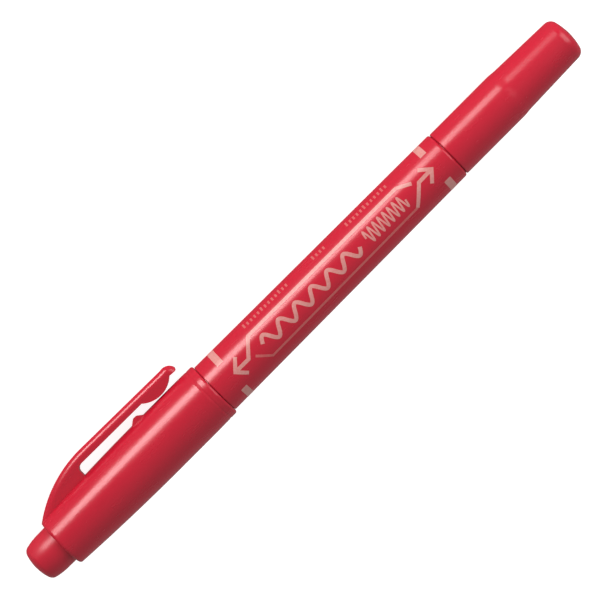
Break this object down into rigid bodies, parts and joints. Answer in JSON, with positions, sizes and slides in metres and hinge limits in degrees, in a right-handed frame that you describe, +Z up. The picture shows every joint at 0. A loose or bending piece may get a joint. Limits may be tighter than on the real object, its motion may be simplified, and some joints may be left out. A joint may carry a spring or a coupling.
{
  "type": "twin-ended marker",
  "caption": "Twin-ended refillable marker with fine and extra-fine points under push-on caps, a moulded clip on the large cap and a slide-out ink cartridge.",
  "frame": {"origin": "on the pen's axis, where the small cap's mouth meets the barrel", "axes": "+X along the pen from the large cap's tail to the small cap's end, +Z up with the pen lying on its side, clip towards +Y and drooping to the surface"},
  "size_m": [0.139, 0.0153, 0.012],
  "materials": {
    "red_gloss": "glossy moulded",
    "natural_soft": "translucent satin",
    "section_white": "satin moulded",
    "cartridge_clear": "translucent",
    "fibre_nib": "bonded fibre soaked with ink",
    "wadding": "fibre soaked with ink",
    "film": "clear film"
  },
  "bodies": {
    "barrel": {"barrel": "red_gloss", "extra_fine_nozzle": "red_gloss"},
    "refill": {"grip_section": "section_white", "fine_nib_holder": "natural_soft", "fine_nib": "fibre_nib", "cartridge_tube": "cartridge_clear", "ink_reservoir": "wadding", "reservoir_film": "film", "cartridge_end_plug": "section_white", "extra_fine_feed_rod": "fibre_nib", "extra_fine_nib_holder": "natural_soft", "extra_fine_nib": "fibre_nib"},
    "large_cap": {"large_cap_shell": "red_gloss", "large_cap_tail_plug": "red_gloss", "large_cap_inner_cap": "natural_soft"},
    "clip": {"large_cap_clip": "red_gloss"},
    "small_cap": {"small_cap_shell": "red_gloss", "small_cap_inner_cap": "natural_soft"}
  },
  "joints": [
    {"name": "refill_pull", "type": "slide", "parent": "barrel", "child": "refill", "axis": [-1, 0, 0], "range_m": [0, 0.095]},
    {"name": "large_cap_pull", "type": "slide", "parent": "refill", "child": "large_cap", "axis": [-1, 0, 0], "range_m": [0, 0.04]},
    {"name": "clip_flex", "type": "hinge", "parent": "large_cap", "child": "clip", "pos_m": [-0.0879, 0.00865, -0.0044], "axis": [0, 0.4532, 0.8914], "range_deg": [0, 5], "stiffness_Nm_per_rad": 0.2},
    {"name": "small_cap_pull", "type": "slide", "parent": "barrel", "child": "small_cap", "axis": [1, 0, 0], "range_m": [0, 0.028]}
  ]
}
